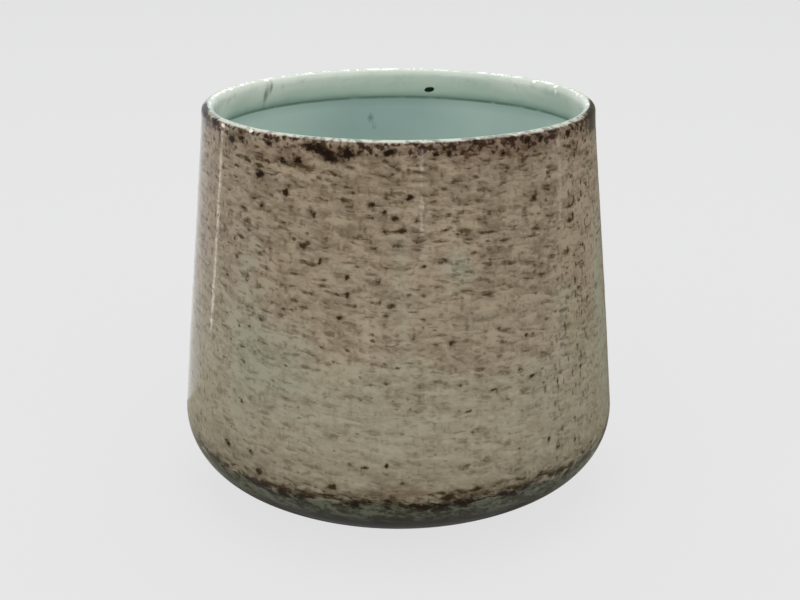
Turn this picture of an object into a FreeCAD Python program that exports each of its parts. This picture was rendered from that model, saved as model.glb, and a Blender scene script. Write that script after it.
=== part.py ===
# A glazed ceramic cover pot that stands on four felt pads.
# Millimetres. +Z is up, and the origin is on the table, under the middle of the pot.
# The pot is one thrown and fired piece. Its wall leans in from a low, round belly to the mouth,
# where the lip and a collar below it, on the inside, are a little thicker than the wall.
import FreeCAD, Part
import math
import os

import Sketcher

# the driving dimensions: lengths in millimetres, shares without a unit, and one count
DRIVING_DIMENSIONS = {
    # outside of the pot; the belly lies above the base by a share of how far it stands out from it
    "pot_height": 168.0,
    "mouth_radius": 81.0,
    "belly_radius": 95.0,
    "base_radius": 45.8,
    "belly_rise_share": 0.687,
    "belly_round_share": 0.784,
    # clay, glaze included
    "wall": 4.0,
    "floor_thickness": 6.5,
    # lip, and the collar inside the mouth
    "lip_swell": 1.6,
    "lip_round_share": 0.43,
    "collar_depth": 13.7,
    "collar_step": 1.1,
    "collar_roll": 4.0,
    # flat foot ring round the recess in the underside
    "foot_width": 12.0,
    "recess_depth": 1.5,
    "recess_round_share": 0.6,
    # self-adhesive felt pads on the foot ring
    "pad_count": 4,
    "pad_margin": 1.0,
    "pad_thickness": 2.0,
    "pad_round_share": 0.2,
}
SHEET_NAME = "Dimensions"
FIRST_PAD_ANGLE = 45.0
FULL_TURN = 360.0
# how near a ring's radius and height must be to the place it is looked for
EDGE_MATCH_SHARE = 1e-6

ORIGIN_POINT = (-1, 1)
VERTICAL_AXIS_INDEX = -2
START = 1
END = 2
CENTRE = 3


class Quantity:
    """A number and the expression that gives it, built up with ordinary arithmetic."""

    def __init__(self, number, text):
        self.number = number
        self.text = text

    def joined(self, other, sign, number):
        """The two sides joined by a sign, as a new quantity."""
        other_text = other.text if isinstance(other, Quantity) else repr(other)
        return Quantity(number, f"({self.text} {sign} {other_text})")

    def __add__(self, other):
        return self.joined(other, "+", self.number + other.number)

    def __sub__(self, other):
        return self.joined(other, "-", self.number - other.number)

    def __mul__(self, other):
        factor = other.number if isinstance(other, Quantity) else other
        return self.joined(other, "*", self.number * factor)

    def __truediv__(self, other):
        divisor = other.number if isinstance(other, Quantity) else other
        return self.joined(other, "/", self.number / divisor)

    def turned(self, degrees):
        """The X and Y parts of this length when it points at an angle from +X."""
        angle = math.radians(degrees)
        along_x = Quantity(self.number * math.cos(angle), f"({self.text} * cos({degrees!r} deg))")
        along_y = Quantity(self.number * math.sin(angle), f"({self.text} * sin({degrees!r} deg))")
        return along_x, along_y


def make_sheet(doc):
    """Writes the driving dimensions into a spreadsheet, one named cell for each."""
    sheet = doc.addObject("Spreadsheet::Sheet", SHEET_NAME)
    for row, (alias, number) in enumerate(DRIVING_DIMENSIONS.items(), start=1):
        sheet.set(f"A{row}", alias)
        sheet.set(f"B{row}", str(number))
        sheet.setAlias(f"B{row}", alias)
    doc.recompute()
    return sheet


def size(alias):
    """A driving dimension, as a quantity that expressions can be made from."""
    return Quantity(float(sheet.get(alias)), f"<<{SHEET_NAME}>>.{alias}")


def add_body(doc, name):
    """An empty body, labelled with the name that its file gets."""
    body = doc.addObject("PartDesign::Body", name)
    body.Label = name
    return body


def add_sketch(body, name, plane_role):
    """A sketch on one of the body's own origin planes."""
    sketch = body.newObject("Sketcher::SketchObject", name)
    plane = next(item for item in body.Origin.OriginFeatures if item.Role == plane_role)
    sketch.AttachmentSupport = [(plane, "")]
    sketch.MapMode = "FlatFace"
    return sketch


def constrain(sketch, kind, *places):
    """Adds a geometric constraint."""
    sketch.addConstraint(Sketcher.Constraint(kind, *places))


def dimension(sketch, kind, quantity, *places):
    """Adds a dimension that follows the sheet."""
    index = sketch.addConstraint(Sketcher.Constraint(kind, *places, quantity.number))
    name = f"{kind}{index}"
    sketch.renameConstraint(index, name)
    sketch.setExpression(f"Constraints.{name}", quantity.text)


def line(sketch, start, end):
    """Draws a straight edge between two (x, y) pairs of numbers."""
    return sketch.addGeometry(Part.LineSegment(FreeCAD.Vector(*start, 0), FreeCAD.Vector(*end, 0)), False)


def arc(sketch, centre, radius, start_angle, end_angle):
    """Draws an arc, anticlockwise from one angle to the other, in radians."""
    circle = Part.Circle(FreeCAD.Vector(*centre, 0), FreeCAD.Vector(0, 0, 1), radius)
    return sketch.addGeometry(Part.ArcOfCircle(circle, start_angle, end_angle), False)


def polar(centre, radius, angle):
    """The point on a circle at an angle in radians."""
    return centre[0] + radius * math.cos(angle), centre[1] + radius * math.sin(angle)


def draw_base(sketch, radius, height):
    """Draws a level edge outwards from the axis."""
    flat = line(sketch, (0, height.number), (radius.number, height.number))
    constrain(sketch, "PointOnObject", flat, START, VERTICAL_AXIS_INDEX)
    constrain(sketch, "Horizontal", flat)
    dimension(sketch, "DistanceY", height, *ORIGIN_POINT, flat, START)
    return flat


def draw_bowl(sketch, base, belly, rim):
    """Draws one side of a bowl from the axis outwards, and gives its first and last edges.

    The flat base turns up through a wide heel arc and a tighter belly arc into a side that
    leans in to the rim. base, belly and rim are (radius, height) pairs of quantities.
    """
    belly_round = (belly[1] - base[1]) * size("belly_round_share")
    centre = (belly[0] - belly_round, belly[1])
    reach = belly[0].number - base[0].number
    rise = belly[1].number - base[1].number
    tight = belly_round.number
    wide = (reach ** 2 + rise ** 2 - 2 * reach * tight) / (2 * (rise - tight))
    heel_end = math.atan2(rise - wide, reach - tight)
    lean = (rim[0].number - centre[0].number, rim[1].number - centre[1].number)
    belly_end = math.atan2(lean[1], lean[0]) - math.acos(tight / math.hypot(*lean))
    leaves = polar((centre[0].number, centre[1].number), tight, belly_end)

    flat = draw_base(sketch, *base)
    heel = arc(sketch, (base[0].number, base[1].number + wide), wide, -math.pi / 2, heel_end)
    round_belly = arc(sketch, (centre[0].number, centre[1].number), tight, heel_end, belly_end)
    side = line(sketch, leaves, (rim[0].number, rim[1].number))

    constrain(sketch, "Tangent", flat, END, heel, START)
    constrain(sketch, "Tangent", heel, END, round_belly, START)
    constrain(sketch, "Tangent", round_belly, END, side, START)
    dimension(sketch, "DistanceX", base[0], *ORIGIN_POINT, heel, CENTRE)
    dimension(sketch, "Radius", belly_round, round_belly)
    dimension(sketch, "DistanceX", centre[0], *ORIGIN_POINT, round_belly, CENTRE)
    dimension(sketch, "DistanceY", centre[1], *ORIGIN_POINT, round_belly, CENTRE)
    dimension(sketch, "DistanceX", rim[0], *ORIGIN_POINT, side, END)
    dimension(sketch, "DistanceY", rim[1], *ORIGIN_POINT, side, END)
    return flat, side


def draw_collar(sketch, side, foot, lip):
    """Draws the collar's face from its foot on the wall up to the lip, and gives its last edge.

    The foot is a roll that stands in from the wall by the collar's step and turns back to it
    in a crease. foot and lip are (radius, height) pairs of quantities.
    """
    roll = size("collar_roll")
    step = size("collar_step")
    centre_radius = foot[0] - step + roll
    inset = roll.number - step.number
    centre = (centre_radius.number, foot[1].number + math.sqrt(roll.number ** 2 - inset ** 2))
    lean = (lip[0].number - centre[0], lip[1].number - centre[1])
    roll_start = math.atan2(lean[1], lean[0]) + math.acos(roll.number / math.hypot(*lean))
    roll_end = math.atan2(foot[1].number - centre[1], -inset) + math.tau
    leaves = polar(centre, roll.number, roll_start)

    roll_arc = arc(sketch, centre, roll.number, roll_start, roll_end)
    face = line(sketch, leaves, (lip[0].number, lip[1].number))
    constrain(sketch, "Coincident", side, END, roll_arc, END)
    constrain(sketch, "Tangent", roll_arc, START, face, START)
    dimension(sketch, "Radius", roll, roll_arc)
    dimension(sketch, "DistanceX", centre_radius, *ORIGIN_POINT, roll_arc, CENTRE)
    dimension(sketch, "DistanceX", lip[0], *ORIGIN_POINT, face, END)
    dimension(sketch, "DistanceY", lip[1], *ORIGIN_POINT, face, END)
    return face


def close_at_axis(sketch, first_edge, last_edge, end, base_height):
    """Closes an outline with a level edge to the axis and an edge down the axis."""
    level = line(sketch, (end[0].number, end[1].number), (0, end[1].number))
    down = line(sketch, (0, end[1].number), (0, base_height.number))
    constrain(sketch, "Coincident", last_edge, END, level, START)
    constrain(sketch, "Horizontal", level)
    constrain(sketch, "PointOnObject", level, END, VERTICAL_AXIS_INDEX)
    constrain(sketch, "Coincident", level, END, down, START)
    constrain(sketch, "Coincident", down, END, first_edge, START)


def turn_profile(body, kind, name, sketch):
    """Turns a profile once round the upright axis, adding to the body or cutting from it."""
    feature = body.newObject(kind, name)
    feature.Profile = sketch
    feature.ReferenceAxis = (sketch, ["V_Axis"])
    feature.Angle = FULL_TURN
    return feature


def ring_edges(feature, rings):
    """The names of the feature's round edges that lie at given (radius, height) pairs of quantities."""
    names = []
    for radius, height in rings:
        near = EDGE_MATCH_SHARE * radius.number
        for number, edge in enumerate(feature.Shape.Edges, start=1):
            curve = edge.Curve
            if not isinstance(curve, Part.Circle):
                continue
            if abs(curve.Radius - radius.number) < near and abs(curve.Center.z - height.number) < near:
                names.append(f"Edge{number}")
    if len(names) != len(rings):
        raise RuntimeError(f"{feature.Name}: {len(names)} of {len(rings)} round edges found")
    return names


def round_rings(body, name, base, rings, radius):
    """Rounds the given ring edges of a body's last feature."""
    doc.recompute()
    fillet = body.newObject("PartDesign::Fillet", name)
    fillet.Base = (base, ring_edges(base, rings))
    fillet.setExpression("Radius", radius.text)
    return fillet


def make_pot():
    """The fired pot: turned outside, hollow with a collar at the mouth, and a recess underneath."""
    base_height = size("pad_thickness")
    belly_rise = (size("belly_radius") - size("base_radius")) * size("belly_rise_share")
    belly_height = base_height + belly_rise
    rim_height = base_height + size("pot_height")
    body = add_body(doc, "ceramic_pot")

    outside = add_sketch(body, "OutsideProfile", "XZ_Plane")
    rim = (size("mouth_radius"), rim_height)
    base = (size("base_radius"), base_height)
    belly = (size("belly_radius"), belly_height)
    first, last = draw_bowl(outside, base, belly, rim)
    close_at_axis(outside, first, last, rim, base_height)
    solid = turn_profile(body, "PartDesign::Revolution", "Outside", outside)
    doc.recompute()
    solid_volume = solid.Shape.Volume

    # the wall leans out below the mouth by this much for each unit of depth
    lean = (size("belly_radius") - size("mouth_radius")) / (size("pot_height") - belly_rise)
    collar_foot = rim_height - size("collar_depth")
    wall_at_collar = size("mouth_radius") - size("wall") + size("collar_depth") * lean
    floor_height = base_height + size("floor_thickness")
    crease = (wall_at_collar, collar_foot)
    lip_thickness = size("wall") + size("lip_swell")
    lip_edge = (size("mouth_radius") - lip_thickness, rim_height)

    inside = add_sketch(body, "InsideProfile", "XZ_Plane")
    inner_base = (size("base_radius"), floor_height)
    inner_belly = (size("belly_radius") - size("wall"), belly_height)
    first, last = draw_bowl(inside, inner_base, inner_belly, crease)
    last = draw_collar(inside, last, crease, lip_edge)
    close_at_axis(inside, first, last, lip_edge, floor_height)
    hollow = turn_profile(body, "PartDesign::Groove", "Inside", inside)
    doc.recompute()
    hollow_volume = hollow.Shape.Volume

    recess_radius = size("base_radius") - size("foot_width")
    recess_height = base_height + size("recess_depth")
    underside = add_sketch(body, "RecessProfile", "XZ_Plane")
    recess_top = (recess_radius, recess_height)
    first = draw_base(underside, recess_radius, base_height)
    foot_corner = (recess_radius.number, base_height.number)
    last = line(underside, foot_corner, (recess_radius.number, recess_height.number))
    constrain(underside, "Coincident", first, END, last, START)
    constrain(underside, "Vertical", last)
    dimension(underside, "DistanceX", recess_radius, *ORIGIN_POINT, last, END)
    dimension(underside, "DistanceY", recess_height, *ORIGIN_POINT, last, END)
    close_at_axis(underside, first, last, recess_top, base_height)
    recess = turn_profile(body, "PartDesign::Groove", "Recess", underside)
    doc.recompute()
    recess_volume = recess.Shape.Volume
    if not solid_volume > hollow_volume > recess_volume > 0:
        raise RuntimeError("a groove of the pot cut nothing")

    lip = round_rings(body, "LipRound", recess, (rim, lip_edge), lip_thickness * size("lip_round_share"))
    recess_round = size("recess_depth") * size("recess_round_share")
    round_rings(body, "RecessRound", lip, (recess_top,), recess_round)
    return body


def make_pad(number, degrees):
    """One felt pad under the foot ring, its lower rim rounded by wear."""
    radius = size("foot_width") / 2 - size("pad_margin")
    along_x, along_y = (size("base_radius") - size("foot_width") / 2).turned(degrees)
    body = add_body(doc, f"felt_pad_{number}")
    outline = add_sketch(body, f"PadOutline{number}", "XY_Plane")
    rim = Part.Circle(FreeCAD.Vector(0, 0, 0), FreeCAD.Vector(0, 0, 1), radius.number)
    circle = outline.addGeometry(rim, False)
    constrain(outline, "Coincident", circle, CENTRE, *ORIGIN_POINT)
    dimension(outline, "Radius", radius, circle)
    disc = body.newObject("PartDesign::Pad", f"Felt{number}")
    disc.Profile = outline
    disc.setExpression("Length", size("pad_thickness").text)
    lower_rim = (radius, Quantity(0.0, "0"))
    rim_round = size("pad_thickness") * size("pad_round_share")
    round_rings(body, f"PadRound{number}", disc, (lower_rim,), rim_round)
    body.setExpression("Placement.Base.x", along_x.text)
    body.setExpression("Placement.Base.y", along_y.text)
    return body


def check(doc, bodies):
    """Stops if anything in the document failed, or a piece is not one valid solid."""
    for item in doc.Objects:
        if "Invalid" in item.State or "Error" in item.State:
            raise RuntimeError(f"{item.Name} failed: {item.State}")
    for body in bodies:
        if body.Shape.isNull() or not body.Shape.isValid() or len(body.Shape.Solids) != 1:
            raise RuntimeError(f"{body.Label} is not one valid solid")


doc = FreeCAD.newDocument("cover_pot")
sheet = make_sheet(doc)
pieces = [make_pot()]
pad_count = int(size("pad_count").number)
for index in range(pad_count):
    pieces.append(make_pad(index + 1, FIRST_PAD_ANGLE + index * FULL_TURN / pad_count))
doc.recompute()
check(doc, pieces)

os.makedirs("parts", exist_ok=True)
for piece in pieces:
    piece.Shape.exportStep(f"parts/{piece.Label}.step")
    box = piece.Shape.BoundBox
    print(f"{piece.Label}: {piece.Shape.Volume:.0f} mm3, Z {box.ZMin:.2f} to {box.ZMax:.2f} mm")
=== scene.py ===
"""A glazed cover pot on felt pads, dressed for the camera.

The pot is one turned shell: a low round belly, a wall that leans in to the mouth, a rounded
lip, and inside it a collar that rolls back to the wall in a crease painted with shade.
Outside, an iron wash is brushed round it over a pale celadon glaze; inside, the celadon has no wash.
Metres. +Z is up, the origin is on the table under the middle of the pot.
"""
import logging
import math
from dataclasses import dataclass
from dataclasses import field
from enum import Enum
from typing import Any

import bmesh
import bpy
from mathutils import Matrix
from mathutils import Vector
from mathutils import noise
from mathutils.bvhtree import BVHTree
from mathutils.kdtree import KDTree


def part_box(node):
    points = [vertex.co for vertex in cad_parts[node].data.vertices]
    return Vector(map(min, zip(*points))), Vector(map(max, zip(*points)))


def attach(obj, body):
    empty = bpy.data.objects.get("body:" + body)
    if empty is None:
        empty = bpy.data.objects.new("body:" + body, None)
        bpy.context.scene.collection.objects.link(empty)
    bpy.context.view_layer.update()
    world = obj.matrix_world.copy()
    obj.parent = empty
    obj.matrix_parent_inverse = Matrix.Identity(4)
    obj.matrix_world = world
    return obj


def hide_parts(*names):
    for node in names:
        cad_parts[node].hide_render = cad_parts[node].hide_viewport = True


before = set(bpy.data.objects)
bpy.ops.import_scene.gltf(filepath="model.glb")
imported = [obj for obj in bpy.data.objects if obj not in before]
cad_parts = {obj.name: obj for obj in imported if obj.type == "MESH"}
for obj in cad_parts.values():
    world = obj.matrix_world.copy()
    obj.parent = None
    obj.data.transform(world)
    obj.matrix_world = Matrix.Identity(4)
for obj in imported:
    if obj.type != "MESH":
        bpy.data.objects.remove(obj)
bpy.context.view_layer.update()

LOG = logging.getLogger("cover_pot")
MILLIMETRE = 0.001
GLASS_IOR = 1.5
Point = tuple[float, float]
Span = tuple[float, float]
Scale = tuple[float, float, float]
Paint = tuple[int, int, int]


def linear(paint: Paint) -> tuple[float, float, float, float]:
    """Turns a screen colour into the linear colour that a shader takes.

    Args:
        paint: red, green and blue from 0 to 255.

    Returns:
        Linear red, green and blue, and an alpha of 1.
    """
    shares = [level / 255 for level in paint]
    red, green, blue = (
        share / 12.92 if share <= 0.04045 else ((share + 0.055) / 1.055) ** 2.4 for share in shares
    )
    return red, green, blue, 1.0


def stand(name: str, mesh: bmesh.types.BMesh, materials: list[bpy.types.Material]) -> bpy.types.Object:
    """Turns a finished mesh into an object of the scene.

    Args:
        name: the object's name.
        mesh: its shape, which is freed.
        materials: its materials, in the order of the faces' numbers.

    Returns:
        The object, at the origin.
    """
    data = bpy.data.meshes.new(name)
    mesh.to_mesh(data)
    mesh.free()
    for material in materials:
        data.materials.append(material)
    made = bpy.data.objects.new(name, data)
    bpy.context.scene.collection.objects.link(made)
    return made


class Signal:
    """A shader output that ordinary arithmetic turns into Math nodes."""

    def __init__(self, bench: "Bench", socket: bpy.types.NodeSocket) -> None:
        """Keeps the socket and the bench that its nodes are made on."""
        self.bench = bench
        self.socket = socket

    def __add__(self, other: "Signal | float") -> "Signal":
        """Gives self + other."""
        return self.bench.math("ADD", self, other)

    def __radd__(self, other: float) -> "Signal":
        """Gives other + self."""
        return self.bench.math("ADD", other, self)

    def __sub__(self, other: "Signal | float") -> "Signal":
        """Gives self - other."""
        return self.bench.math("SUBTRACT", self, other)

    def __rsub__(self, other: float) -> "Signal":
        """Gives other - self."""
        return self.bench.math("SUBTRACT", other, self)

    def __mul__(self, other: "Signal | float") -> "Signal":
        """Gives self * other."""
        return self.bench.math("MULTIPLY", self, other)

    def __rmul__(self, other: float) -> "Signal":
        """Gives other * self."""
        return self.bench.math("MULTIPLY", other, self)

    @property
    def swing(self) -> "Signal":
        """How far a noise stands above or below its middle."""
        return self - 0.5


Spot = tuple[Signal, Signal, Signal]


@dataclass(frozen=True)
class Noise:
    """One kind of soft noise.

    turns is how often it turns in a millimetre along X, Y and Z. layers is the number of its finer
    layers, strength is what each keeps of the one before it, and stir is how far it is stirred.
    """

    turns: Scale
    layers: float
    strength: float
    stir: float = 0.0


class Bench:
    """The node tree of one material, with the few tools that its shaders are made with."""

    def __init__(self, name: str) -> None:
        """Starts an empty material.

        Args:
            name: the material's name.
        """
        self.material = bpy.data.materials.new(name)
        self.material.use_nodes = True
        self.tree = self.material.node_tree
        self.tree.nodes.clear()

    def node(
        self,
        kind: str,
        settings: dict[str, Any] | None = None,
        sockets: dict[str | int, Any] | None = None,
    ) -> bpy.types.Node:
        """Adds a node: its settings first, then the values and links of its sockets.

        Args:
            kind: the node's type.
            settings: properties of the node.
            sockets: for each input, by name or index, a value or a Signal to link.

        Returns:
            The new node.
        """
        made = self.tree.nodes.new(kind)
        for name, value in (settings or {}).items():
            setattr(made, name, value)
        for key, value in (sockets or {}).items():
            if isinstance(value, Signal):
                self.tree.links.new(value.socket, made.inputs[key])
            else:
                made.inputs[key].default_value = value
        return made

    def math(self, operation: str, first: Signal | float, second: Signal | float = 0.0) -> Signal:
        """Adds a Math node.

        Args:
            operation: the node's operation.
            first: its first value.
            second: its second value.

        Returns:
            The node's result.
        """
        made = self.node("ShaderNodeMath", {"operation": operation}, {0: first, 1: second})
        return Signal(self, made.outputs[0])

    def place(self) -> Spot:
        """Reads the point being shaded.

        Returns:
            Its X, Y and Z on the pot, in millimetres.
        """
        coordinates = self.node("ShaderNodeTexCoord")
        split = self.node("ShaderNodeSeparateXYZ", None, {0: Signal(self, coordinates.outputs["Object"])})
        return tuple(Signal(self, output) * (1 / MILLIMETRE) for output in split.outputs)

    def spread(self, turns: Scale, spot: Spot) -> Signal:
        """Scales a spot to a pattern's own units.

        Args:
            turns: how many units of the pattern fit in a millimetre, along X, Y and Z.
            spot: X, Y and Z in millimetres.

        Returns:
            The vector that the pattern is read at.
        """
        x, y, z = (along * each for along, each in zip(spot, turns))
        made = self.node("ShaderNodeCombineXYZ", None, {0: x, 1: y, 2: z})
        return Signal(self, made.outputs[0])

    def attribute(self, name: str) -> Signal:
        """Reads one of the mesh's own values."""
        made = self.node("ShaderNodeAttribute", {"attribute_name": name})
        return Signal(self, made.outputs["Fac"])

    def cloud(self, kind: Noise, spot: Spot) -> Signal:
        """Adds soft noise.

        Args:
            kind: how fine it is, and how it is layered and stirred.
            spot: where it is read, in millimetres.

        Returns:
            A value about a half, from 0 to 1.
        """
        sockets = {
            "Vector": self.spread(kind.turns, spot),
            "Scale": 1.0,
            "Detail": kind.layers,
            "Roughness": kind.strength,
            "Distortion": kind.stir,
        }
        made = self.node("ShaderNodeTexNoise", {"noise_dimensions": "3D"}, sockets)
        return Signal(self, made.outputs[0])

    def grains(self, turns: Scale, spot: Spot) -> tuple[Signal, Signal]:
        """Scatters one grain in each unit of space.

        Args:
            turns: how many units fit in a millimetre, along X, Y and Z.
            spot: where they are read, in millimetres.

        Returns:
            The distance to the nearest grain, and a random value that is the grain's own.
        """
        sockets = {"Vector": self.spread(turns, spot), "Scale": 1.0, "Randomness": 1.0}
        made = self.node("ShaderNodeTexVoronoi", {"voronoi_dimensions": "3D"}, sockets)
        own = self.node("ShaderNodeSeparateColor", None, {0: Signal(self, made.outputs["Color"])})
        return Signal(self, made.outputs["Distance"]), Signal(self, own.outputs[0])

    def rise(self, value: Signal, low: float, high: float) -> Signal:
        """Turns a value into a smooth step.

        Args:
            value: the value that is stepped.
            low: where the step gives 0; it may be the larger of the two.
            high: where the step gives 1.

        Returns:
            A value from 0 to 1.
        """
        settings = {"interpolation_type": "SMOOTHSTEP"}
        sockets = {"Value": value, "From Min": min(low, high), "From Max": max(low, high)}
        made = self.node("ShaderNodeMapRange", settings, sockets)
        risen = Signal(self, made.outputs[0])
        return risen if low < high else 1.0 - risen

    def blend(self, under: Any, over: Any, cover: Signal | float) -> Signal:
        """Lays one colour over another.

        Args:
            under: a screen colour, or a colour Signal.
            over: the same, for what is laid on it.
            cover: how much of it covers, from 0 to 1.

        Returns:
            The mixed colour.
        """
        settings = {"data_type": "RGBA", "clamp_factor": True}
        colours = [each if isinstance(each, Signal) else linear(each) for each in (under, over)]
        made = self.node("ShaderNodeMix", settings, {0: cover, 6: colours[0], 7: colours[1]})
        return Signal(self, made.outputs[2])

    def relief(self, height: Signal, depth: float) -> Signal:
        """Turns a height from 0 to 1 into a bumped normal, depth metres deep."""
        made = self.node("ShaderNodeBump", None, {"Strength": 1.0, "Distance": depth, "Height": height})
        return Signal(self, made.outputs[0])

    def finish(self, sockets: dict[str | int, Any]) -> bpy.types.Material:
        """Ends the material in a Principled shader.

        Args:
            sockets: the shader's inputs.

        Returns:
            The finished material.
        """
        shader = self.node("ShaderNodeBsdfPrincipled", None, sockets)
        self.node("ShaderNodeOutputMaterial", None, {0: Signal(self, shader.outputs[0])})
        return self.material


@dataclass(frozen=True)
class Landmarks:
    """Places that the finishes follow, in metres: heights above the table, and the crest's radius."""

    rim: float
    crest: float
    crease: float
    wash_edge: float


@dataclass(frozen=True)
class OutsideReading:
    """What the layers of the outside glaze read where it is shaded.

    spot, level and wavy are places in millimetres, level following the strokes' tilt and wavy
    their sway. from_rim, from_crest, from_edge and frayed_edge are millimetres from a landmark.
    climb runs from 0 below to 1 above, and wash is what is placed there. The rest are noises.
    """

    spot: Spot
    level: Signal
    wavy: Signal
    from_rim: Signal
    from_crest: Signal
    from_edge: Signal
    frayed_edge: Signal
    climb: Signal
    wash: Signal
    drift: Signal
    smudge: Signal
    strokes: Signal
    flecks: Signal
    ragged: Signal
    dabs: Signal


@dataclass(frozen=True)
class OutsidePatterns:
    """The noises that the outside layers share, and how they bend its levels and its edge."""

    drift: Noise = Noise((0.03, 0.03, 0.045), 3.0, 0.6)
    smudge: Noise = Noise((0.1, 0.1, 0.22), 3.0, 0.6, 0.6)
    strokes: Noise = Noise((0.07, 0.07, 0.42), 4.0, 0.65, 0.5)
    flecks: Noise = Noise((0.3, 0.3, 0.42), 3.0, 0.6, 0.6)
    ragged: Noise = Noise((0.5, 0.5, 0.6), 3.0, 0.6)
    dabs: Noise = Noise((0.42, 0.42, 0.42), 1.0, 0.6, 0.2)
    dab_shift: float = 21.43
    dabs_by_wash: float = 0.16
    stroke_tilt: float = 0.087
    waviness: float = 5.0
    climb: Span = (45.0, 135.0)
    edge_by_ragged: float = 4.0
    edge_by_smudge: float = 5.0
    edge_by_drift: float = 9.0

    def read(self, bench: Bench, marks: Landmarks) -> OutsideReading:
        """Makes the nodes that the layers share.

        Args:
            bench: the bench of the material.
            marks: the places on the pot.

        Returns:
            What the layers read.
        """
        x, y, z = bench.place()
        level = z + x * self.stroke_tilt
        wash = bench.attribute("wash")
        drift = bench.cloud(self.drift, (x, y, level))
        smudge = bench.cloud(self.smudge, (x, y, level))
        ragged = bench.cloud(self.ragged, (x, y, z))
        wavy = level + smudge.swing * self.waviness
        from_edge = z - marks.wash_edge / MILLIMETRE
        frayed_edge = from_edge + ragged.swing * self.edge_by_ragged + smudge.swing * self.edge_by_smudge
        return OutsideReading(
            spot=(x, y, z),
            level=level,
            wavy=wavy,
            from_rim=z - marks.rim / MILLIMETRE,
            from_crest=bench.math("SQRT", x * x + y * y) - marks.crest / MILLIMETRE,
            from_edge=from_edge,
            frayed_edge=frayed_edge + drift.swing * self.edge_by_drift,
            climb=bench.rise(z, *self.climb),
            wash=wash,
            drift=drift,
            smudge=smudge,
            strokes=bench.cloud(self.strokes, (x, y, wavy)),
            flecks=bench.cloud(self.flecks, (x, y, level)),
            ragged=ragged,
            dabs=bench.cloud(self.dabs, (x, y, z + self.dab_shift)) + wash * self.dabs_by_wash,
        )


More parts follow.
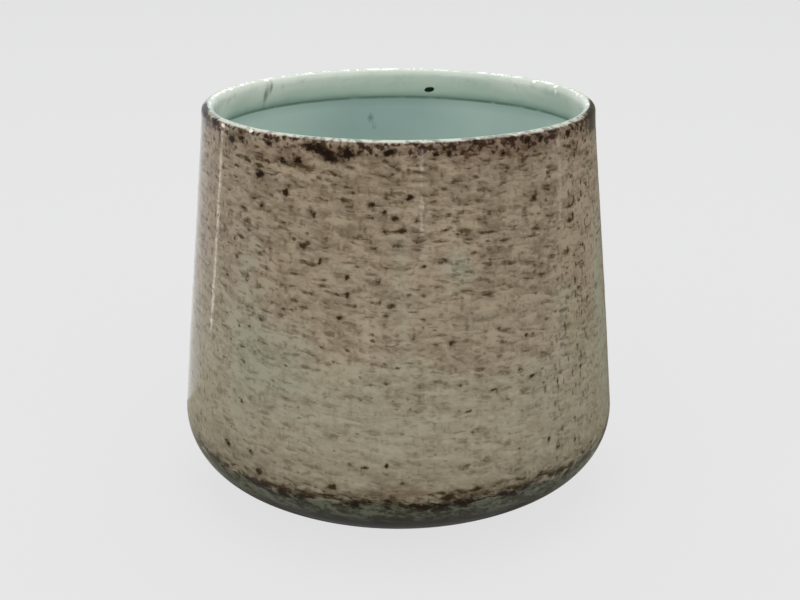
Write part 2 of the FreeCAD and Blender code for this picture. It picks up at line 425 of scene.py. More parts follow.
@dataclass(frozen=True)
class WashStrokes:
    """The brushed wash: umber in level strokes, dashes and ticks over the celadon, thicker above."""

    low: Paint = (158, 150, 128)
    high: Paint = (155, 140, 119)
    green: Paint = (150, 147, 127)
    umber: Paint = (68, 51, 28)
    low_wash: float = 0.30
    high_wash: float = 0.40
    rim_wash: float = 0.08
    edge_wash: float = 0.42
    heel_wash: float = 0.17
    placed_wash: float = 0.5
    drift_wash: float = 0.2
    low_contrast: float = 1.5
    high_contrast: float = 2.8
    rim_contrast: float = 1.2
    edge_contrast: float = 2.4
    rim_sway: float = 16.0
    rim_span: Span = (-17.0, -5.0)
    edge_span: Span = (10.0, -0.5)
    heel_span: Span = (24.0, 3.0)
    stroke_weight: float = 0.45
    fleck_weight: float = 0.38
    smudge_weight: float = 0.5
    long_dash: Scale = (0.12, 0.12, 0.48)
    long_dash_weight: float = 0.17
    short_dash: Scale = (0.23, 0.23, 0.7)
    short_dash_weight: float = 0.12
    tick: Scale = (0.5, 0.5, 0.24)
    tick_weight: float = 0.08
    placed_tick_weight: float = 0.24
    dash_mean: float = 0.16
    dash_owners: Span = (0.2, 1.0)
    dash_size: float = 0.42
    dash_fray: float = 0.4
    dash_edge: Span = (-0.12, 0.16)
    warm_by_drift: float = 1.2
    warm_by_wash: float = 2.0
    warm_span: Span = (0.2, 0.9)
    green_by_smudge: float = 0.3
    green_span: Span = (-0.06, -0.26)

    def dashes(self, bench: Bench, turns: Scale, spot: Spot, ragged: Signal) -> Signal:
        """Scatters short dashes of different lengths.

        Args:
            bench: the bench of the material.
            turns: how many units of their spacing fit in a millimetre, along X, Y and Z.
            spot: where they are read, in millimetres.
            ragged: fine noise that frays their outlines.

        Returns:
            How much of a dash lies here, about 0 on the whole.
        """
        far, own = bench.grains(turns, spot)
        size = bench.rise(own, *self.dash_owners) * self.dash_size
        return bench.rise(size - far + ragged.swing * self.dash_fray, *self.dash_edge) - self.dash_mean

    def mottle(self, bench: Bench, at: OutsideReading) -> Signal:
        """Adds up what makes the wash uneven.

        Args:
            bench: the bench of the material.
            at: what the glaze reads.

        Returns:
            A value about 0, larger where the wash is darker.
        """
        x, y, _ = at.spot
        long_dash = self.dashes(bench, self.long_dash, (x, y, at.wavy), at.ragged)
        short_dash = self.dashes(bench, self.short_dash, (x, y, at.wavy), at.ragged)
        tick = self.dashes(bench, self.tick, (x, y, at.level), at.ragged)
        upright = bench.attribute("upright") * self.placed_tick_weight + self.tick_weight
        soft = at.strokes.swing * self.stroke_weight + at.flecks.swing * self.fleck_weight
        soft = soft + at.smudge.swing * self.smudge_weight
        dashed = soft + long_dash * self.long_dash_weight + short_dash * self.short_dash_weight
        return dashed + tick * upright

    def cover(self, bench: Bench, at: OutsideReading) -> Signal:
        """Works out how thick the wash is.

        Args:
            bench: the bench of the material.
            at: what the glaze reads.

        Returns:
            How much of the umber covers the celadon, from 0 to 1.
        """
        under_rim = bench.rise(at.from_rim + at.smudge.swing * self.rim_sway, *self.rim_span)
        near_edge = bench.rise(at.frayed_edge, *self.edge_span)
        contrast = at.climb * (self.high_contrast - self.low_contrast) + self.low_contrast
        contrast = contrast + under_rim * self.rim_contrast + near_edge * self.edge_contrast
        cover = at.climb * (self.high_wash - self.low_wash) + self.low_wash
        cover = cover + under_rim * self.rim_wash + near_edge * self.edge_wash
        cover = cover + bench.rise(at.frayed_edge, *self.heel_span) * self.heel_wash
        cover = cover + at.wash * self.placed_wash + at.drift.swing * self.drift_wash
        return cover + self.mottle(bench, at) * contrast * (at.drift.swing + 1.0)

    def lay(self, bench: Bench, at: OutsideReading, cover: Signal) -> Signal:
        """Colours the celadon and lays the wash over it.

        Args:
            bench: the bench of the material.
            at: what the glaze reads.
            cover: how thick the wash is.

        Returns:
            The glaze's colour.
        """
        warm = at.climb + at.drift.swing * self.warm_by_drift + at.wash * self.warm_by_wash
        ground = bench.blend(self.low, self.high, bench.rise(warm, *self.warm_span))
        thin = at.wash + at.smudge.swing * self.green_by_smudge
        ground = bench.blend(ground, self.green, bench.rise(thin, *self.green_span))
        return bench.blend(ground, self.umber, cover)


@dataclass(frozen=True)
class IronSpecks:
    """Small dark specks, finer below than above."""

    speck: Paint = (48, 33, 10)
    turns: Scale = (0.21, 0.21, 0.36)
    owners: Span = (0.62, 1.0)
    size: float = 0.27
    low_share: float = 0.4
    fray: float = 0.6
    edge: Span = (-0.16, 0.14)
    strength: float = 0.8

    def lay(self, bench: Bench, at: OutsideReading, glaze: Signal) -> Signal:
        """Lays the specks on the glaze.

        Args:
            bench: the bench of the material.
            at: what the glaze reads.
            glaze: its colour so far.

        Returns:
            Its colour with the specks.
        """
        x, y, _ = at.spot
        far, own = bench.grains(self.turns, (x, y, at.level))
        share = at.climb * (1.0 - self.low_share) + self.low_share
        size = bench.rise(own, *self.owners) * self.size * share
        speck = bench.rise(size - far + at.ragged.swing * self.fray, *self.edge)
        return bench.blend(glaze, self.speck, speck * self.strength)


@dataclass(frozen=True)
class RimBand:
    """Rust under the lip, with a broken row of maroon blotches along it."""

    rust: Paint = (92, 60, 50)
    maroon: Paint = (36, 16, 6)
    rust_span: Span = (-12.0, -4.0)
    rust_cover: float = 0.18
    rust_by_wash: float = 0.8
    fringe_fray: float = 5.0
    fringe_span: Span = (-6.5, -3.0)
    fringe_start: Span = (0.0, 0.2)
    fringe_gain: float = 0.06
    blotch_span: Span = (0.6, 0.67)
    blotch_cover: float = 0.85

    def lay(self, bench: Bench, at: OutsideReading, glaze: Signal) -> Signal:
        """Lays the band on the glaze.

        Args:
            bench: the bench of the material.
            at: what the glaze reads.
            glaze: its colour so far.

        Returns:
            Its colour with the band.
        """
        rust = bench.rise(at.from_rim, *self.rust_span) * (at.wash * self.rust_by_wash + self.rust_cover)
        fringe = bench.rise(at.from_rim + at.flecks.swing * self.fringe_fray, *self.fringe_span)
        blotch = bench.rise(at.dabs + fringe * self.fringe_gain, *self.blotch_span)
        blotch = blotch * bench.rise(fringe, *self.fringe_start)
        glaze = bench.blend(glaze, self.rust, rust)
        return bench.blend(glaze, self.maroon, blotch * self.blotch_cover)


@dataclass(frozen=True)
class LipLine:
    """The pale line where the wash is wiped off the lip, a broken shade under it, and painted glints."""

    lip: Paint = (182, 185, 172)
    # colour of the painted glints: highlights painted on the lip
    painted_glint: Paint = (228, 216, 208)
    shade: Paint = (36, 16, 6)
    fray: float = 1.2
    height_span: Span = (-6.0, -3.0)
    lip_span: Span = (2.1, 1.4)
    shade_span: Span = (2.9, 2.3)
    shade_dabs: Span = (0.4, 0.56)
    shade_cover: float = 0.7
    worn_by_wash: float = 0.3
    worn_dabs: Span = (0.5, 0.62)
    worn_share: float = 0.5
    glint_fray: float = 0.8
    glint_span: Span = (-0.2, 0.3)

    def lay(self, bench: Bench, at: OutsideReading, glaze: Signal) -> Signal:
        """Lays the line, its shade and its painted glints on the glaze.

        Args:
            bench: the bench of the material.
            at: what the glaze reads.
            glaze: its colour so far.

        Returns:
            Its colour with the lip.
        """
        outward = at.from_crest + at.ragged.swing * self.fray
        on_lip = bench.rise(at.from_rim, *self.height_span)
        shade = bench.rise(outward, *self.shade_span) * bench.rise(at.dabs, *self.shade_dabs) * on_lip
        worn = bench.rise(at.dabs + at.wash * self.worn_by_wash, *self.worn_dabs) * self.worn_share
        # painted glints, where the glint marks lie
        painted_glint = bench.attribute("pale") + at.ragged.swing * self.glint_fray
        glaze = bench.blend(glaze, self.shade, shade * self.shade_cover)
        glaze = bench.blend(glaze, self.lip, bench.rise(outward, *self.lip_span) * on_lip * (1.0 - worn))
        return bench.blend(glaze, self.painted_glint, bench.rise(painted_glint, *self.glint_span))


@dataclass(frozen=True)
class PlacedBlotches:
    """Iron blotches in the places of the photograph, each with a paler halo."""

    halo: Paint = (68, 51, 28)
    low: Paint = (48, 33, 10)
    high: Paint = (24, 10, 0)
    halo_by_ragged: float = 1.8
    halo_by_flecks: float = 1.2
    halo_span: Span = (-1.1, 0.5)
    halo_cover: float = 0.55
    core_fray: float = 2.0
    core_span: Span = (-0.3, 0.45)
    height_span: Span = (-30.0, -15.0)

    def core(self, bench: Bench, at: OutsideReading) -> Signal:
        """Gives how much of a blotch lies here."""
        return bench.rise(bench.attribute("iron") + at.ragged.swing * self.core_fray, *self.core_span)

    def lay(self, bench: Bench, at: OutsideReading, glaze: Signal, core: Signal) -> Signal:
        """Lays the blotches on the glaze.

        Args:
            bench: the bench of the material.
            at: what the glaze reads.
            glaze: its colour so far.
            core: how much of a blotch lies here.

        Returns:
            Its colour with the blotches.
        """
        fray = at.ragged.swing * self.halo_by_ragged + at.flecks.swing * self.halo_by_flecks
        halo = bench.rise(bench.attribute("iron") + fray, *self.halo_span)
        glaze = bench.blend(glaze, self.halo, halo * self.halo_cover)
        iron = bench.blend(self.low, self.high, bench.rise(at.from_rim, *self.height_span))
        return bench.blend(glaze, iron, core)


@dataclass(frozen=True)
class ShadedHeel:
    """Where the wash ends: a broken iron line along its edge, and under it the celadon painted dark
    grey-green as shade, near black toward the foot.
    """

    # the celadon under the wash, painted dark as shade
    heel: Paint = (94, 98, 82)
    silt: Paint = (40, 36, 22)
    # iron of the line along the edge, also painted shade toward the foot
    iron: Paint = (24, 10, 0)
    first_share: float = 0.4
    other_share: float = 0.3
    silt_span: Span = (0.42, 0.56)
    silt_cover: float = 0.85
    foot_shade_fray: float = 6.0
    foot_shade_span: Span = (-5.0, -12.0)
    foot_shade_cover: float = 0.95
    heel_shade_span: Span = (1.5, -2.0)
    line_low: Span = (-3.0, -0.5)
    line_high: Span = (5.0, 1.0)
    line_strokes: Span = (0.3, 0.6)
    line_cover: float = 0.6
    broken_span: Span = (0.46, 0.56)
    broken_cover: float = 0.9

    def lay(self, bench: Bench, at: OutsideReading, glaze: Signal) -> Signal:
        """Lays the painted shade under the wash, and its iron line, on the glaze.

        Args:
            bench: the bench of the material.
            at: what the glaze reads.
            glaze: its colour so far.

        Returns:
            Its colour with the heel.
        """
        silty = at.flecks * self.first_share + at.smudge * self.other_share + at.strokes * self.other_share
        broken = at.smudge * self.first_share + at.flecks * self.other_share + at.strokes * self.other_share
        # painted shade: near black toward the foot, where the floor shades the heel
        foot = bench.rise(at.from_edge + at.flecks.swing * self.foot_shade_fray, *self.foot_shade_span)
        line = bench.rise(at.frayed_edge, *self.line_low) * bench.rise(at.frayed_edge, *self.line_high)
        # the celadon under the wash in painted shade, with a darker mottle
        pool = bench.blend(self.heel, self.silt, bench.rise(silty, *self.silt_span) * self.silt_cover)
        pool = bench.blend(pool, self.iron, foot * self.foot_shade_cover)
        glaze = bench.blend(glaze, pool, bench.rise(at.frayed_edge, *self.heel_shade_span))
        stroked = line * bench.rise(at.strokes, *self.line_strokes)
        glaze = bench.blend(glaze, self.silt, stroked * self.line_cover)
        broken_line = line * bench.rise(broken, *self.broken_span)
        return bench.blend(glaze, self.iron, broken_line * self.broken_cover)


@dataclass(frozen=True)
class BrushedIronWash:
    """Iron wash brushed round the outside in short level strokes, over a grey celadon glaze."""

    marks: Landmarks
    name: str = "brushed_iron_wash"
    patterns: OutsidePatterns = OutsidePatterns()
    strokes: WashStrokes = WashStrokes()
    specks: IronSpecks = IronSpecks()
    band: RimBand = RimBand()
    lip: LipLine = LipLine()
    blotches: PlacedBlotches = PlacedBlotches()
    heel: ShadedHeel = ShadedHeel()
    roughness: float = 0.1
    blotch_roughness: float = 0.1
    wash_roughness: float = 0.08
    thick_wash: Span = (0.4, 1.0)
    specular: float = 0.08
    relief_depth: float = 0.00003
    crest_span: Span = (-2.0, -0.3)
    crest_ripple: float = 6.0

    def material(self) -> bpy.types.Material:
        """Makes the glaze.

        Returns:
            The material of the outside of the pot.
        """
        bench = Bench(self.name)
        at = self.patterns.read(bench, self.marks)
        cover = self.strokes.cover(bench, at)
        core = self.blotches.core(bench, at)
        glaze = self.strokes.lay(bench, at, cover)
        glaze = self.specks.lay(bench, at, glaze)
        glaze = self.band.lay(bench, at, glaze)
        glaze = self.lip.lay(bench, at, glaze)
        glaze = self.blotches.lay(bench, at, glaze, core)
        # painted shade under the wash's edge, and its iron line
        glaze = self.heel.lay(bench, at, glaze)
        dull = core * self.blotch_roughness + bench.rise(cover, *self.thick_wash) * self.wash_roughness
        ripple = bench.rise(at.from_rim, *self.crest_span) * self.crest_ripple + 1.0
        sockets = {
            "Base Color": glaze,
            "Roughness": dull + self.roughness,
            "IOR": GLASS_IOR,
            "Specular IOR Level": self.specular,
            "Normal": bench.relief((at.strokes + at.flecks) * 0.5 * ripple, self.relief_depth),
        }
        return bench.finish(sockets)


@dataclass(frozen=True)
class InsideReading:
    """What the inside glaze reads where it is shaded: millimetres from landmarks, and noises."""

    back: Signal
    from_rim: Signal
    from_crease: Signal
    inward: Signal
    curdle: Signal
    clouds: Signal
    glint_noise: Signal


@dataclass(frozen=True)
class CollarGlaze:
    """The band above the crease: darker below, as painted shade and glaze pooling there, creamier and
    clouded above, the creamier glaze partly painted light.
    """

    collar: Paint = (180, 196, 182)
    # creamier glaze, partly painted light on the band's top and sides
    cream_and_light: Paint = (226, 229, 217)
    # darker green: painted shade toward the crease, partly glaze pooling there; also the clouds' colour
    pool: Paint = (148, 170, 156)
    crease_shade_fray: float = 3.0
    crease_shade_span: Span = (0.2, 4.5)
    upper_cream_and_light_sway: float = 24.0
    upper_cream_and_light_span: Span = (-10.0, -1.0)
    upper_cream_and_light_cover: float = 0.45
    placed_cream_and_light: float = 1.2
    cloud_span: Span = (0.5, 0.75)
    cloud_cover: float = 0.6

    def lay(self, bench: Bench, at: InsideReading) -> Signal:
        """Colours the band.

        Args:
            bench: the bench of the material.
            at: what the glaze reads.

        Returns:
            The band's colour.
        """
        # painted shade toward the crease, partly glaze pooling
        above_crease_shade = bench.rise(at.from_crease + at.curdle.swing * self.crease_shade_fray, *self.crease_shade_span)
        # creamier toward the lip and where placed, partly painted light
        upper_cream_and_light = bench.rise(at.from_rim + at.clouds.swing * self.upper_cream_and_light_sway, *self.upper_cream_and_light_span)
        placed = bench.attribute("cream_and_light") * (self.placed_cream_and_light - at.clouds)
        band = bench.blend(self.pool, self.collar, above_crease_shade)
        band = bench.blend(band, self.cream_and_light, upper_cream_and_light * self.upper_cream_and_light_cover + placed)
        return bench.blend(band, self.pool, bench.rise(at.clouds, *self.cloud_span) * self.cloud_cover)


@dataclass(frozen=True)
class CrestGlaze:
    """The top of the lip: painted shade in grey on its top and darker in front, and painted glints behind.
    """

    # grey painted shade on the lip's top
    grey: Paint = (166, 174, 162)
    shade: Paint = (122, 146, 134)
    # white of the painted glints
    white: Paint = (240, 244, 234)
    top_shade_span: Span = (-3.5, -0.8)
    top_shade_cover: float = 0.6
    front_span: Span = (20.0, -40.0)
    front_cover: float = 0.9
    glint_sway: float = 5.0
    glint_span: Span = (2.2, 1.2)
    glint_by_clouds: float = 0.5
    glint_noise_span: Span = (0.5, 0.58)
    glint_heights: Span = (-3.0, -1.5)

    def lay(self, bench: Bench, at: InsideReading, band: Signal) -> Signal:
        """Lays the crest on the band.

        Args:
            bench: the bench of the material.
            at: what the glaze reads.
            band: the band's colour so far.

        Returns:
            Its colour with the crest.
        """
        # painted shade on the lip's top, darker in front
        top = bench.rise(at.from_rim, *self.top_shade_span)
        front = bench.rise(at.back, *self.front_span) * self.front_cover
        band = bench.blend(band, self.grey, top * self.top_shade_cover)
        band = bench.blend(band, self.shade, top * front)
        # painted glints, broken up, behind the front
        painted_glint = bench.rise(at.inward + at.glint_noise.swing * self.glint_sway, *self.glint_span)
        painted_glint = painted_glint * bench.rise(at.glint_noise + at.clouds.swing * self.glint_by_clouds, *self.glint_noise_span)
        painted_glint = painted_glint * (1.0 - front) * bench.rise(at.from_rim, *self.glint_heights)
        return bench.blend(band, self.white, painted_glint)


@dataclass(frozen=True)
class PlacedInside:
    """Iron on the collar, painted glints and grey smears, in the places of the photograph."""

    iron: Paint = (20, 30, 22)
    # white of the painted glints
    white: Paint = (240, 244, 234)
    smoke: Paint = (92, 106, 96)
    fray: float = 0.6
    iron_span: Span = (-0.05, 0.12)
    iron_heights: Span = (-3.0, -5.0)
    placed_glint_span: Span = (-0.2, 0.3)
    placed_glint_cover: float = 0.9
    smear_fray: float = 1.2
    smear_span: Span = (-0.5, 0.7)
    smear_cover: float = 0.75

    def lay(self, bench: Bench, at: InsideReading, glaze: Signal) -> Signal:
        """Lays the placed marks on the glaze.

        Args:
            bench: the bench of the material.
            at: what the glaze reads.
            glaze: its colour so far.

        Returns:
            Its colour with the marks.
        """
        fray = at.curdle.swing * self.fray
        iron = bench.rise(bench.attribute("iron") + fray, *self.iron_span)
        iron = iron * bench.rise(at.from_rim, *self.iron_heights)
        # painted glints, where the glint marks lie
        pale = bench.rise(bench.attribute("pale") + fray, *self.placed_glint_span)
        smear = bench.rise(bench.attribute("smear") + at.curdle.swing * self.smear_fray, *self.smear_span)
        glaze = bench.blend(glaze, self.iron, iron)
        glaze = bench.blend(glaze, self.white, pale * self.placed_glint_cover)
        return bench.blend(glaze, self.smoke, smear * self.smear_cover)


@dataclass(frozen=True)
class BareCeladon:
    """Smooth blue-green glaze inside, with painted glints on the lip, and painted shade in the crease and
    on the far wall.
    """

    marks: Landmarks
    name: str = "bare_celadon"
    wall: Paint = (190, 208, 200)
    # painted shade on the far wall, where its patches lie
    deep: Paint = (158, 180, 174)
    shadow: Paint = (122, 146, 134)
    collar: CollarGlaze = CollarGlaze()
    crest: CrestGlaze = CrestGlaze()
    placed: PlacedInside = PlacedInside()
    drift: Noise = Noise((0.02, 0.02, 0.03), 2.0, 0.5)
    curdle: Noise = Noise((0.12, 0.12, 0.16), 4.0, 0.6)
    clouds: Noise = Noise((0.07, 0.07, 0.1), 4.0, 0.65, 0.8)
    glint_noise: Noise = Noise((0.3, 0.3, 0.3), 2.0, 0.6)
    deep_by_drift: float = 0.8
    band_start: Span = (-0.1, 0.2)
    crease_low: Span = (-0.9, -0.3)
    crease_high: Span = (0.9, 0.3)
    crease_curdle: Span = (0.2, 0.5)
    roughness: float = 0.1
    curdle_roughness: float = 0.05
    specular: float = 0.2
    relief_depth: float = 0.00003
    rim_span: Span = (-6.0, -1.0)
    rim_ripple: float = 5.0

    def material(self) -> bpy.types.Material:
        """Makes the glaze.

        Returns:
            The material of the inside of the pot.
        """
        bench = Bench(self.name)
        spot = bench.place()
        x, y, z = spot
        at = InsideReading(
            back=y,
            from_rim=z - self.marks.rim / MILLIMETRE,
            from_crease=z - self.marks.crease / MILLIMETRE,
            inward=self.marks.crest / MILLIMETRE - bench.math("SQRT", x * x + y * y),
            curdle=bench.cloud(self.curdle, spot),
            clouds=bench.cloud(self.clouds, spot),
            glint_noise=bench.cloud(self.glint_noise, spot),
        )
        # painted shade on the far wall from its patches, with a slow random drift
        depth = bench.attribute("deep") + bench.cloud(self.drift, spot).swing * self.deep_by_drift
        band = self.crest.lay(bench, at, self.collar.lay(bench, at))
        glaze = bench.blend(self.wall, self.deep, depth)
        glaze = bench.blend(glaze, band, bench.rise(at.from_crease, *self.band_start))
        # painted shade in the crease under the collar's roll
        above = bench.rise(at.from_crease, *self.crease_low)
        crease = above * bench.rise(at.from_crease, *self.crease_high)
        glaze = bench.blend(glaze, self.shadow, crease * bench.rise(at.curdle, *self.crease_curdle))
        ripple = bench.rise(at.from_rim, *self.rim_span) * self.rim_ripple + 1.0
        sockets = {
            "Base Color": self.placed.lay(bench, at, glaze),
            "Roughness": at.curdle * self.curdle_roughness + self.roughness,
            "IOR": GLASS_IOR,
            "Specular IOR Level": self.specular,
            "Normal": bench.relief(at.curdle * ripple, self.relief_depth),
        }
        return bench.finish(sockets)


@dataclass(frozen=True)
class BareClay:
    """Buff stoneware left without glaze, where the pot stood in the kiln."""

    name: str = "bare_clay"
    clay: Paint = (196, 178, 152)
    sand: Paint = (156, 134, 106)
    speck: Paint = (92, 70, 52)
    grit: Noise = Noise((1.6, 1.6, 1.6), 4.0, 0.7)
    stain: Noise = Noise((0.07, 0.07, 0.07), 3.0, 0.6)
    grit_share: float = 0.6
    sand_span: Span = (0.42, 0.66)
    speck_turns: Scale = (0.5, 0.5, 0.5)
    speck_owners: Span = (0.7, 1.0)
    speck_size: float = 0.25
    speck_edge: Span = (-0.03, 0.05)
    roughness: float = 0.82
    relief_depth: float = 0.00012

    def material(self) -> bpy.types.Material:
        """Makes the clay.

        Returns:
            The material of the foot ring and the recess.
        """
        bench = Bench(self.name)
        spot = bench.place()
        grit = bench.cloud(self.grit, spot)
        sandy = grit * self.grit_share + bench.cloud(self.stain, spot) * (1.0 - self.grit_share)
        far, own = bench.grains(self.speck_turns, spot)
        speck = bench.rise(own, *self.speck_owners) * self.speck_size - far
        clay = bench.blend(self.clay, self.sand, bench.rise(sandy, *self.sand_span))
        sockets = {
            "Base Color": bench.blend(clay, self.speck, bench.rise(speck, *self.speck_edge)),
            "Roughness": self.roughness,
            "Normal": bench.relief(grit, self.relief_depth),
        }
        return bench.finish(sockets)


@dataclass(frozen=True)
class PressedFelt:
    """Dark brown felt of matted short hair."""

    name: str = "pressed_felt"
    wool: Paint = (96, 80, 68)
    shade: Paint = (58, 46, 38)
    fleck: Paint = (138, 122, 106)
    matting: Noise = Noise((1.4, 1.4, 1.4), 4.0, 0.7, 2.5)
    hair: Noise = Noise((7.0, 2.0, 5.0), 3.0, 0.7, 3.0)
    wool_span: Span = (0.35, 0.62)
    fleck_span: Span = (0.62, 0.78)
    fleck_cover: float = 0.7
    roughness: float = 0.95
    sheen: float = 0.4
    relief_depth: float = 0.0003

    def material(self) -> bpy.types.Material:
        """Makes the felt.

        Returns:
            The material of the pads.
        """
        bench = Bench(self.name)
        spot = bench.place()
        matting = bench.cloud(self.matting, spot)
        hair = bench.cloud(self.hair, spot)
        felt = bench.blend(self.shade, self.wool, bench.rise(matting, *self.wool_span))
        flecks = bench.rise(hair, *self.fleck_span) * self.fleck_cover
        sockets = {
            "Base Color": bench.blend(felt, self.fleck, flecks),
            "Roughness": self.roughness,
            "Sheen Weight": self.sheen,
            "Normal": bench.relief((matting + hair) * 0.5, self.relief_depth),
        }
        return bench.finish(sockets)


@dataclass(frozen=True)
class PhotoView:
    """The camera of the photograph, found from the pot's outline. Pixels are of an 800 by 600 frame."""

    distance: float = 0.5225
    height: float = 0.2675
    pitch: float = 19.68
    focal_pixels: float = 1252.4
    axis_column: float = 398.5
    horizon_row: float = 300.0
    frame_width: int = 800
    sensor_width: float = 36.0

    def ray(self, column: float, row: float) -> tuple[Vector, Vector]:
        """Gives the line of sight through a pixel.

        Args:
            column: pixels from the frame's left edge.
            row: pixels from its top edge.

        Returns:
            The camera's place, and the direction of the line.
        """
        across = (column - self.axis_column) / self.focal_pixels
        down = (row - self.horizon_row) / self.focal_pixels
        turn = Matrix.Rotation(-math.radians(self.pitch), 3, "X")
        sight = (turn @ Vector((across, 1.0, -down))).normalized()
        return Vector((0.0, -self.distance, self.height)), sight

    def camera(self) -> bpy.types.Object:
        """Makes the camera.

        Returns:
            The camera, in its place.
        """
        lens = bpy.data.cameras.new("camera")
        lens.sensor_width = self.sensor_width
        lens.lens = self.focal_pixels * self.sensor_width / self.frame_width
        lens.shift_x = (self.frame_width / 2 - self.axis_column) / self.frame_width
        camera = bpy.data.objects.new("camera", lens)
        camera.location = (0.0, -self.distance, self.height)
        camera.rotation_euler = (math.radians(90.0 - self.pitch), 0.0, 0.0)
        bpy.context.scene.collection.objects.link(camera)
        return camera


@dataclass(frozen=True)
class Mark:
    """A blotch in the glaze: the pixel of its middle, its size in millimetres, its tilt in degrees."""

    column: float
    row: float
    length: float
    width: float
    tilt: float = 0.0


@dataclass(frozen=True)
class Patch:
    """A broad change in the glaze: the pixel of its middle, its reach in millimetres, its strength."""

    column: float
    row: float
    across: float
    upright: float
    strength: float


# iron blotches on the outside and on the collar, read off the photograph one by one
IRON_MARKS = (
    Mark(324, 153, 13.5, 4.4, -28.0),
    Mark(347, 154, 5.2, 4.6, 20.0),
    Mark(360, 153, 2.8, 1.9),
    Mark(389, 153, 5.6, 2.6, 15.0),
    Mark(310, 148, 5.0, 2.2, -20.0),
    Mark(429, 89.5, 5.6, 2.7, 10.0),
    Mark(372, 205, 2.6, 2.6, 45.0),
    Mark(384, 213, 2.2, 1.8),
    Mark(395, 219, 2.6, 2.9, 60.0),
    Mark(385, 232, 1.9, 2.4, 90.0),
    Mark(402, 231, 3.0, 2.0),
    Mark(417, 221, 1.8, 2.4, 60.0),
    Mark(445, 231, 2.2, 1.3),
    Mark(423, 267, 2.4, 1.6),
    Mark(347, 278, 2.3, 2.0),
    Mark(378, 281, 1.9, 1.7),
    Mark(347, 295, 2.1, 2.3),
    Mark(391, 306, 3.0, 2.2, 20.0),
    Mark(379, 303, 2.2, 1.5),
    Mark(320, 262, 2.0, 2.8),
    Mark(302, 246, 2.4, 3.2, 80.0),
    Mark(313, 214, 4.0, 2.0, -35.0),
    Mark(262, 205, 2.4, 2.0, -30.0),
    Mark(244, 208, 2.0, 3.4, 70.0),
    Mark(235, 237, 2.2, 2.2),
    Mark(260, 174, 4.4, 3.6),
    Mark(298, 160, 3.4, 3.0),
    Mark(284, 161, 4.2, 2.2, -20.0),
    Mark(231, 139, 3.2, 4.6, 80.0),
    Mark(242, 139, 3.6, 2.2),
    Mark(269, 144, 2.0, 3.6, 90.0),
    Mark(285, 192, 2.6, 3.2),
    Mark(534, 198, 1.7, 2.6, 80.0),
    Mark(503, 153, 2.6, 2.0),
    Mark(528, 141, 3.6, 2.4),
    Mark(475, 142, 2.4, 3.0),
    Mark(449, 154, 2.2, 2.8),
    Mark(436, 155, 2.8, 1.8),
    Mark(409, 198, 3.2, 2.6),
    Mark(443, 261, 1.8, 4.2, 90.0),
    Mark(259, 471, 3.2, 3.6),
    Mark(332, 487, 3.6, 2.8),
    Mark(282, 492, 4.0, 4.4, 60.0),
    Mark(228, 443, 2.0, 4.4, 60.0),
    Mark(218, 459, 2.4, 4.2, 60.0),
    Mark(364, 468.5, 3.4, 1.5),
    Mark(357, 469, 7.0, 1.0),
    Mark(350, 465, 2.0, 1.0),
    Mark(387, 466, 1.8, 1.8),
    Mark(448, 498, 5.4, 2.6),
    Mark(458, 502, 3.2, 2.4),
    Mark(558, 445, 2.0, 3.0),
    Mark(527, 487, 2.6, 4.4, 60.0),
    Mark(477, 489, 6.0, 2.0, 10.0),
    Mark(449, 496, 4.0, 3.0),
    Mark(540, 474, 3.4, 1.6, 20.0),
    Mark(550, 475, 3.4, 1.6, 25.0),
    Mark(553, 481, 4.6, 1.8, 30.0),
    Mark(572, 463, 1.6, 4.2, 60.0),
    Mark(583, 452, 1.6, 4.4, 60.0),
    Mark(562, 471, 4.0, 1.6, 35.0),
    Mark(549, 439, 1.6, 2.0),
    Mark(575, 439, 1.6, 2.2),
    Mark(520, 369, 1.8, 2.6),
    Mark(532, 376, 4.2, 1.4, 10.0),
    Mark(557, 382, 1.4, 3.6),
    Mark(545, 390, 1.4, 1.8),
    Mark(557, 402, 1.2, 3.2),
    Mark(494, 389, 3.0, 1.1),
    Mark(451, 344, 2.2, 2.2),
    Mark(526, 335, 1.6, 1.6),
    Mark(469, 411, 3.4, 0.9, 15.0),
    Mark(467, 466, 3.2, 1.2, 15.0),
    Mark(403, 483, 2.6, 1.2),
    Mark(392, 497, 2.8, 1.8),
    Mark(310, 497, 3.0, 1.6, -20.0),
    Mark(297, 489, 3.6, 1.4, -20.0),
    Mark(251, 452, 3.0, 1.6, -30.0),
    Mark(241, 400, 3.0, 1.2, -30.0),
    Mark(221, 391, 1.2, 2.8),
    Mark(339, 318, 2.2, 1.6),
    Mark(414, 338, 2.0, 1.6),
    Mark(204.5, 107, 20.0, 4.6),
    Mark(204.5, 113, 14.0, 3.0),
    Mark(215, 121, 5.0, 3.0, -30.0),
    Mark(592.5, 104, 22.0, 4.6),
    Mark(593, 112, 28.0, 6.0),
    Mark(593.5, 122, 22.0, 7.0),
    Mark(568, 133, 2.6, 4.4, 80.0),
    Mark(581, 128, 3.0, 2.4, 25.0),
    Mark(541, 139, 3.6, 2.2, 10.0),
)

# painted glints on the lip and on the collar
GLINT_MARKS = (
    Mark(223, 125.5, 4.4, 1.3, -14.0),
    Mark(251, 131, 1.6, 2.4, 80.0),
    Mark(216, 95, 2.4, 1.6, 40.0),
    Mark(223, 91.5, 3.0, 2.0, 30.0),
    Mark(230, 88.5, 4.0, 2.4, 25.0),
    Mark(242, 84.5, 4.0, 2.0, 20.0),
    Mark(266, 80, 3.6, 2.2, 10.0),
    Mark(534, 81.5, 3.0, 1.6, -20.0),
    Mark(555.5, 86.5, 2.6, 2.2),
    Mark(555.5, 92, 1.8, 2.4),
    Mark(577, 95, 3.6, 1.0, -35.0),
)

# thin grey smears in the glaze on the inside
SMEARS = (
    Mark(266, 94, 2.8, 11.0, -8.0),
    Mark(271, 88, 2.4, 6.0, -10.0),
    Mark(372, 121, 2.6, 7.5, 25.0),
    Mark(364, 112, 5.0, 1.6, -30.0),
)

